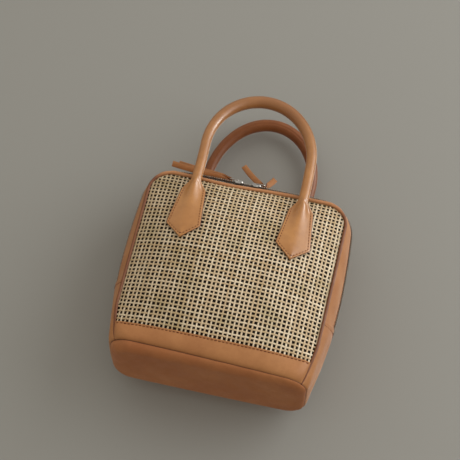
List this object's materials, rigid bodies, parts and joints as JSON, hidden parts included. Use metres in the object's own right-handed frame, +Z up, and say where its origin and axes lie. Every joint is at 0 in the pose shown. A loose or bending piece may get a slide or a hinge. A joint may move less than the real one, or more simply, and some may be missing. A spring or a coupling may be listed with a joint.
{
  "type": "basket box bag",
  "caption": "Small box handbag with woven cane front and back, leather base, zipped leather gusset and rolled leather handles.",
  "frame": {"origin": "centre of the base's underside, where the bag stands", "axes": "+Z up from the base to the handles, the front panel faces -Y, +X to the right of a viewer in front"},
  "size_m": [0.2238, 0.1096, 0.3144],
  "materials": {
    "cane": "natural woven cane, satin",
    "leather": "smooth tan leather, semi-matt",
    "base_leather": "smooth tan leather, semi-matt",
    "piping_leather": "tan leather piping",
    "backing": "split leather",
    "lining": "dark brown cotton",
    "tape": "brown zip tape",
    "board": "stiffener board",
    "zip_metal": "dark nickel"
  },
  "bodies": {
    "root": {"front_cane_panel": "cane", "front_panel_lining": "lining", "front_base_band": "leather", "front_panel_piping": "piping_leather", "front_gusset_strip": "leather", "front_zip_tape": "tape", "front_zip_teeth": "zip_metal", "front_handle": "leather", "front_backing_left": "backing", "front_backing_right": "backing", "back_cane_panel": "cane", "back_panel_lining": "lining", "back_base_band": "leather", "back_panel_piping": "piping_leather", "back_gusset_strip": "leather", "back_zip_tape": "tape", "back_zip_teeth": "zip_metal", "back_handle": "leather", "back_backing_left": "backing", "back_backing_right": "backing", "base_panel": "base_leather", "base_board": "board", "base_welt": "piping_leather", "side_panel_left": "leather", "side_panel_right": "leather", "zip_stop_left": "zip_metal", "zip_stop_right": "zip_metal", "gusset_lining": "lining"},
    "slider_left": {"slider_left": "zip_metal"},
    "slider_right": {"slider_right": "zip_metal"},
    "pull_left": {"pull_left": "zip_metal"},
    "pull_right": {"pull_right": "zip_metal"},
    "thong_left": {"thong_left": "leather"},
    "thong_right": {"thong_right": "leather"}
  },
  "joints": [
    {"name": "slider_left_slide", "type": "slide", "parent": "root", "child": "slider_left", "axis": [-1, 0, 0], "range_m": [0, 0.055]},
    {"name": "slider_right_slide", "type": "slide", "parent": "root", "child": "slider_right", "axis": [1, 0, 0], "range_m": [0, 0.055]},
    {"name": "pull_left_hinge", "type": "hinge", "parent": "slider_left", "child": "pull_left", "pos_m": [-0.017, 0, 0.22145], "axis": [0, 1, 0], "range_deg": [0, 90]},
    {"name": "pull_right_hinge", "type": "hinge", "parent": "slider_right", "child": "pull_right", "pos_m": [0.002, 0, 0.22145], "axis": [0, -1, 0], "range_deg": [0, 60]},
    {"name": "thong_left_hinge", "type": "hinge", "parent": "pull_left", "child": "thong_left", "pos_m": [-0.026, 0, 0.22145], "axis": [0, 1, 0], "range_deg": [0, 40]},
    {"name": "thong_right_hinge", "type": "hinge", "parent": "pull_right", "child": "thong_right", "pos_m": [0.011, 0, 0.22145], "axis": [0, 1, 0], "range_deg": [0, 45]}
  ]
}
